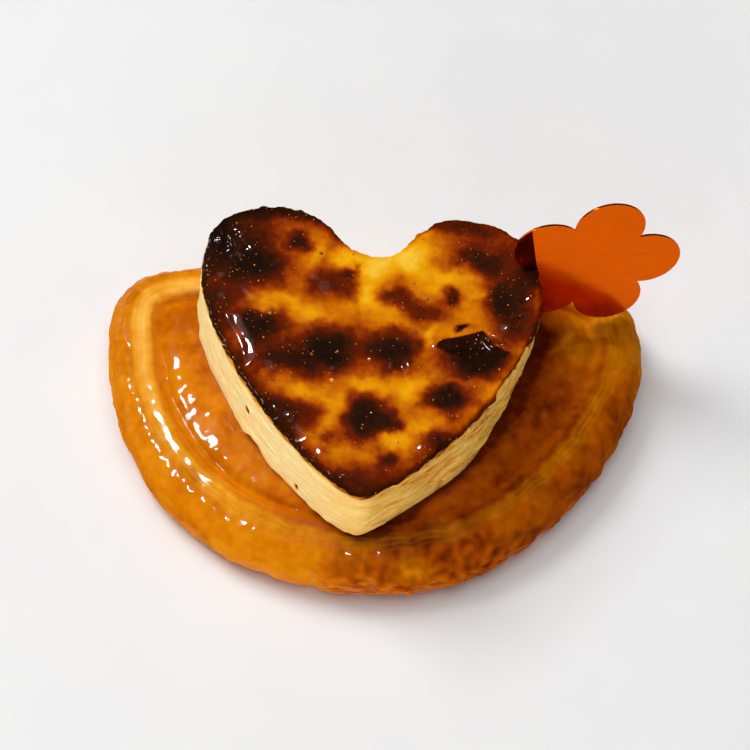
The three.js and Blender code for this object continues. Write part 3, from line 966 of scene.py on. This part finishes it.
# %% Caramel: the shape of a spot and of the flake
def patch(x, y, spot, fade):
    """The spot's strength inside its oval, and 0 well outside it."""
    spot_x, spot_y, half_width, half_depth, strength = spot
    away = np.hypot((x - spot_x) / half_width, (y - spot_y) / half_depth)
    return strength * (1 - ease(away, *fade))


def on_flake(points):
    """1 on the lifted flake, with a clean upper edge and a frayed lower one."""
    jitter = lumps(points * (1, 1, 0), (0.35, 2.2, 55), (0.15, 0.9, 56))
    fading = 2.6 * (1 - ease(points[:, 1], 3.2, 6.5))
    return ease(depth_inside(points, FLAKE) + jitter * (0.4 + fading), -0.2, 0.4 + fading)


# %% Caramel: how burnt a place is
NOTCH = (-1.0, 28.0)  # where the heart's two lobes meet, and the rim stays pale
THIN_SUGAR = 0.385  # how burnt the sheet is between the spots
# Where a spot starts to fade and where it ends, in its own half sizes.
PALE_FADE, BURN_FADE, HALO_FADE = (0.2, 1.7), (0.25, 1.5), (0.7, 2.2)
HALO_STRENGTH = 0.3


def burnt_at(points, from_rim):
    """From 0, pale, to 1, black. Each spot and the rim leave a share of what isn't burnt yet."""
    plan = points * (1, 1, 0)
    x = points[:, 0] + lumps(plan, (1.7, 5, 50), (0.65, 2, 51), (0.3, 0.9, 57))
    y = points[:, 1] + lumps(plan, (1.7, 5, 52), (0.65, 2, 53), (0.3, 0.9, 58))
    amber = THIN_SUGAR + 0.13 * rough(plan, 6, 3, 54)
    for spot in PALE:
        amber = amber - patch(x, y, spot, PALE_FADE)
    left = 1 - np.clip(amber, 0, 1)
    for spot in SPOTS:
        left = left * (1 - HALO_STRENGTH * patch(x, y, spot, HALO_FADE))
        left = left * (1 - patch(x, y, spot, BURN_FADE))
    front = 1 - ease(points[:, 1], 5, 25)
    leftward = 1 - ease(points[:, 0], -20, 5)
    notch = round_spot(points, NOTCH, 9)
    rim_char = (0.45 + 0.15 * front + 0.14 * leftward) * (1 - 0.8 * notch)
    rim_brown = 0.5 * np.maximum(leftward, 1 - ease(points[:, 1], -22, -10)) * (1 - notch)
    left = left * (1 - rim_char * (1 - ease(from_rim, 0.1, 1.6 + 0.8 * leftward)))
    left = left * (1 - rim_brown * (1 - ease(from_rim, 1.0, 6.0)))
    left = left * (1 - 0.9 * on_flake(points))
    torn = ease(depth_inside(points, TEAR), -0.3, 0.3)
    return np.clip((1 - left) * (1 - torn) + 0.7 * torn, 0, 1)


# %% Caramel: burn and gloss of the sheet
WET_RIM = (-43.0, 24.0)

burnt = burnt_at(sheet, sheet_inset)
keep(caramel, "burnt", burnt)
wet_rim = round_spot(sheet, WET_RIM, 3.5)
glassy = ease(sheet_inset, 1.3, 3.2) * (1 - 0.75 * on_flake(sheet)) + wet_rim + 0.04
keep(caramel, "glassy", np.clip(glassy, 0, 1))
print("share burnt black", round(float((burnt > 0.85).mean()), 2))

# %% Burnt sugar
SUGAR_COLOURS = [
    (0.0, 255, 200, 60),
    (0.16, 246, 174, 8),
    (0.32, 234, 146, 2),
    (0.46, 208, 108, 1),
    (0.6, 166, 66, 1),
    (0.74, 112, 31, 1),
    (0.88, 60, 22, 4),
    (1.0, 27, 13, 6),
]

sugar, tree, shader = finish(
    "burnt sugar", Roughness=0.4, Specular_IOR_Level=0.0, Coat_Roughness=0.035, Coat_IOR=1.45
)
tree.links.new(stored(tree, "glassy"), shader.inputs["Coat Weight"])
tone = sum_of(tree, stored(tree, "burnt"), speckle(tree, 1.4, 5), 0.2)
tree.links.new(ramp(tree, tone, SUGAR_COLOURS), shader.inputs["Base Color"])
emboss(tree, speckle(tree, 1.0, 3), 0.05, shader.inputs["Normal"])
dress(caramel, "burnt_sugar", sugar)
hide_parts("caramel_top")

# %% [markdown]
# ## Bubbles in the sugar
# Boiling sugar traps bubbles, most of them in the dark spots. Geometry nodes could scatter them,
# but a seeded draw is easier to read. Each is a small ball of few faces, sunk into the sheet where
# a ray meets it, and all of them are one piece.

# %% Caramel: places for bubbles
BIG_BUBBLES = [  # place, radius
    (8.5, 18.0, 0.62),
    (-10.9, -5.1, 0.7),
    (-16.3, 27.8, 0.6),
    (4.5, -19.1, 0.4),
    (-3.2, 1.1, 0.45),
    (-16.0, 1.1, 0.45),
    (-26.2, 10.7, 0.6),
    (6.5, 9.2, 0.45),
    (23.0, 21.5, 0.4),
]
TRIES = 6000
SHEET_BOX = (-42, -32, SHEET_TOP), (34, 40, SHEET_TOP)
SMALLEST, SPREAD_OF_SIZES = 0.1, 0.18  # radii

draw = np.random.default_rng(11)
tries = draw.uniform(*SHEET_BOX, (TRIES, 3))
chance = 0.05 + 0.95 * burnt_at(tries, edge_distance(tries, heart_rim)) ** 2
tries = tries[draw.uniform(size=len(tries)) < chance]
small_bubbles = [(x, y, SMALLEST + SPREAD_OF_SIZES * draw.random() ** 2) for x, y, _ in tries]
print(len(small_bubbles), "places for small bubbles")

# %% Caramel: bubbles
MOST_BUBBLES = 421
SUNK_BY = 0.35  # share of the radius
LOWEST_PLACE = SHEET_TOP - 1.0  # no bubble hangs on the side of the sheet
DROPPED_FROM = 0.06  # metres, above the sheet

sheet_tree = BVHTree.FromObject(caramel, bpy.context.evaluated_depsgraph_get())
bm = bmesh.new()
made = 0
for x, y, radius in BIG_BUBBLES + small_bubbles:
    hit = sheet_tree.ray_cast(Vector((x * MM, y * MM, DROPPED_FROM)), Vector((0, 0, -1)))[0]
    if hit is None or hit.z < LOWEST_PLACE * MM or made == MOST_BUBBLES:
        continue
    spot = Matrix.Translation(hit + Vector((0, 0, -SUNK_BY * radius * MM)))
    bmesh.ops.create_uvsphere(bm, u_segments=8, v_segments=5, radius=radius * MM, matrix=spot)
    made += 1
bubble_mesh = bpy.data.meshes.new("caramel_bubbles")
bm.to_mesh(bubble_mesh)
bm.free()
bubbles = show("caramel_bubbles", bubble_mesh)
print(made, "bubbles")

# %% Amber bubbles
amber, tree, shader = finish("amber bubbles", Roughness=0.2, Coat_Weight=1.0)
hue = ramp(tree, speckle(tree, 3.0, 2), [(0.35, 120, 44, 6), (0.65, 226, 140, 50)])
tree.links.new(hue, shader.inputs["Base Color"])
dress(bubbles, "burnt_sugar", amber)

# %% [markdown]
# ## The flower tag
# A flat card covered with copper-orange foil on both faces. A mirror needs something to mirror, so
# the foil is a metal with low roughness. The film isn't quite parallel to the card, and a height
# that falls steadily tips its mirror image back. At a crease down the left side the film turns, so
# a narrow strip mirrors the dark part of the room. The cut edge is a pale, matt second material.

# %% Tag: card with softened edges
EDGE_ROUNDING = 0.07

card_mesh = nodes["flower_tag"].data.copy()
bm = bmesh.new()
bm.from_mesh(card_mesh)
bmesh.ops.remove_doubles(bm, verts=bm.verts[:], dist=1e-6)
bmesh.ops.dissolve_limit(bm, angle_limit=math.radians(1), verts=bm.verts[:], edges=bm.edges[:])
rims = [e for e in bm.edges if e.calc_face_angle(0) > math.radians(60)]
bmesh.ops.bevel(
    bm, geom=rims, offset=EDGE_ROUNDING * MM, affect="EDGES", segments=2, profile=0.5, material=-1
)
card_faces = sorted(bm.faces, key=lambda f: f.calc_area())[-2:]
for face in bm.faces:
    face.material_index = 0 if face in card_faces else 1
bm.to_mesh(card_mesh)
bm.free()
card_mesh.materials.clear()
tag = show("foil_tag", card_mesh)
print("tag", triangles(tag), "triangles")

# %% Copper foil
FOIL_TIPPED_BACK = 0.114  # slope of the film, upwards
CREASE_AT, CREASE_LEAN = 39.9, 0.2  # X of the crease on the table, and how far it leans
FOIL_TURNED = 0.45  # slope of the film left of the crease, sideways

foil, tree, shader = finish("copper foil", Metallic=1.0, Roughness=0.16)
brushed = ramp(tree, streaks(tree, 0.5, 0.08), [(0.3, 225, 90, 1), (0.7, 234, 97, 1)])
tree.links.new(brushed, shader.inputs["Base Color"])
place = node(tree, "ShaderNodeSeparateXYZ")
tree.links.new(node(tree, "ShaderNodeTexCoord").outputs["Object"], place.inputs["Vector"])
tipped = calculate(tree, "MULTIPLY", place.outputs["Z"], -FOIL_TIPPED_BACK / MM)
leaning = calculate(tree, "MULTIPLY_ADD", place.outputs["Z"], CREASE_LEAN, place.outputs["X"])
creased = calculate(tree, "MINIMUM", leaning, CREASE_AT * MM)
turned = calculate(tree, "MULTIPLY_ADD", creased, FOIL_TURNED / MM, tipped)
film = sum_of(tree, turned, speckle(tree, 7.0, 1), 0.05)
emboss(tree, film, 1.0, shader.inputs["Normal"])

# %% Cut edge of the card
pale_card, tree, shader = finish("cut card", Roughness=0.6)
pulp = ramp(tree, speckle(tree, 1.5, 2), [(0.3, 214, 160, 138), (0.7, 244, 216, 202)])
tree.links.new(pulp, shader.inputs["Base Color"])
dress(tag, "foil", foil, pale_card)
tag.data.polygons.foreach_set("use_smooth", [False] * len(tag.data.polygons))
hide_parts("flower_tag")

# %% [markdown]
# ## Table, light and camera
# The table is a pale plane. A window stands at the back left: its small bright part sparkles on
# glossy slopes that face it, two wider and dimmer ovals round it spread a soft sheen, and its wide
# glow gives a soft shadow to the right. A ceiling lamp fills the rest. A long low card in front
# throws light back at the sides of the custard and at the roll of the crust.

# %% Table
TABLE_HALF_SIZE = 0.9  # metres

bm = bmesh.new()
bmesh.ops.create_grid(bm, x_segments=1, y_segments=1, size=TABLE_HALF_SIZE)
table_mesh = bpy.data.meshes.new("table")
bm.to_mesh(table_mesh)
bm.free()
table = show("table", table_mesh)
matt, tree, shader = finish("pale table", Roughness=0.7, Specular_IOR_Level=0.1)
whites = ramp(tree, speckle(tree, 30, 2), [(0.3, 240, 240, 241), (0.7, 243, 243, 243)])
tree.links.new(whites, shader.inputs["Base Color"])
table.data.materials.append(matt)
print("table", 2 * TABLE_HALF_SIZE, "m wide")


# %% A soft lamp
def soft_light(name, direction, distance, size, power, rays="diffuse", shape="RECTANGLE"):
    """A lamp that looks at the dessert and gives it either shading or glints."""
    lamp = bpy.data.lights.new(name, "AREA")
    lamp.shape = shape
    lamp.size, lamp.size_y = size
    lamp.energy = power
    stand = bpy.data.objects.new(name, lamp)
    stand.location = Vector(direction).normalized() * distance
    stand.rotation_euler = Vector(direction).to_track_quat("Z", "Y").to_euler()
    stand.visible_camera = False
    stand.visible_glossy = rays == "glossy"
    stand.visible_diffuse = rays == "diffuse"
    scene.collection.objects.link(stand)
    print(name, power, "W for", rays, "rays")


# %% Lamps: direction, distance and size in metres, power in watts
soft_light("window glow", (-0.53, 0.36, 0.77), 1.7, (0.72, 0.8), 17.0)
soft_light("ceiling", (0.0, 0.1, 1.0), 1.8, (1.6, 1.6), 16.5)
soft_light("front card", (-0.2, -0.97, 0.14), 0.9, (1.2, 0.2), 5.6)
soft_light("window", (-0.57, 0.13, 0.81), 1.6, (0.3, 0.38), 36.0, "glossy")
soft_light("window sheen", (-0.53, 0.3, 0.79), 1.7, (0.6, 0.6), 0.8, "glossy", "ELLIPSE")
soft_light("wide sheen", (-0.53, 0.3, 0.79), 1.7, (1.1, 1.1), 1.3, "glossy", "ELLIPSE")

# %% A dim room, and a bright backdrop behind the table
ROOM = 0.05
BACKDROP = 0.75  # what the camera sees on top of that

world = bpy.data.worlds.new("studio")
world.use_nodes = True
backdrop = world.node_tree.nodes["Background"]
backdrop.inputs["Color"].default_value = (1, 1, 1, 1)
tree = world.node_tree
is_seen = node(tree, "ShaderNodeLightPath").outputs["Is Camera Ray"]
strength = calculate(tree, "MULTIPLY_ADD", is_seen, BACKDROP, ROOM)
tree.links.new(strength, backdrop.inputs["Strength"])
scene.world = world
scene.view_settings.view_transform = "Standard"
print("room at", ROOM, "and backdrop at", round(ROOM + BACKDROP, 2))

# %% Camera
CAMERA_TARGET = Vector((-1.6, 9.8, 12.0)) * MM
CAMERA_DISTANCE = 0.48  # metres
FOCAL_LENGTH, SENSOR_WIDTH = 99.07, 36.0
ELEVATION = math.radians(60)
ROLL = math.radians(5)

ahead = Vector((0, math.cos(ELEVATION), -math.sin(ELEVATION)))
right = Vector((1, 0, 0))
above = right.cross(ahead)
across = right * math.cos(ROLL) + above * math.sin(ROLL)
upward = above * math.cos(ROLL) - right * math.sin(ROLL)
lens = bpy.data.cameras.new("camera")
lens.sensor_width = SENSOR_WIDTH
lens.lens = FOCAL_LENGTH
camera = bpy.data.objects.new("camera", lens)
aim = Matrix((across, upward, -ahead)).transposed().to_4x4()
camera.matrix_world = Matrix.Translation(CAMERA_TARGET - CAMERA_DISTANCE * ahead) @ aim
scene.collection.objects.link(camera)
scene.camera = camera
print("camera", CAMERA_DISTANCE, "m away,", round(math.degrees(ELEVATION)), "degrees up")
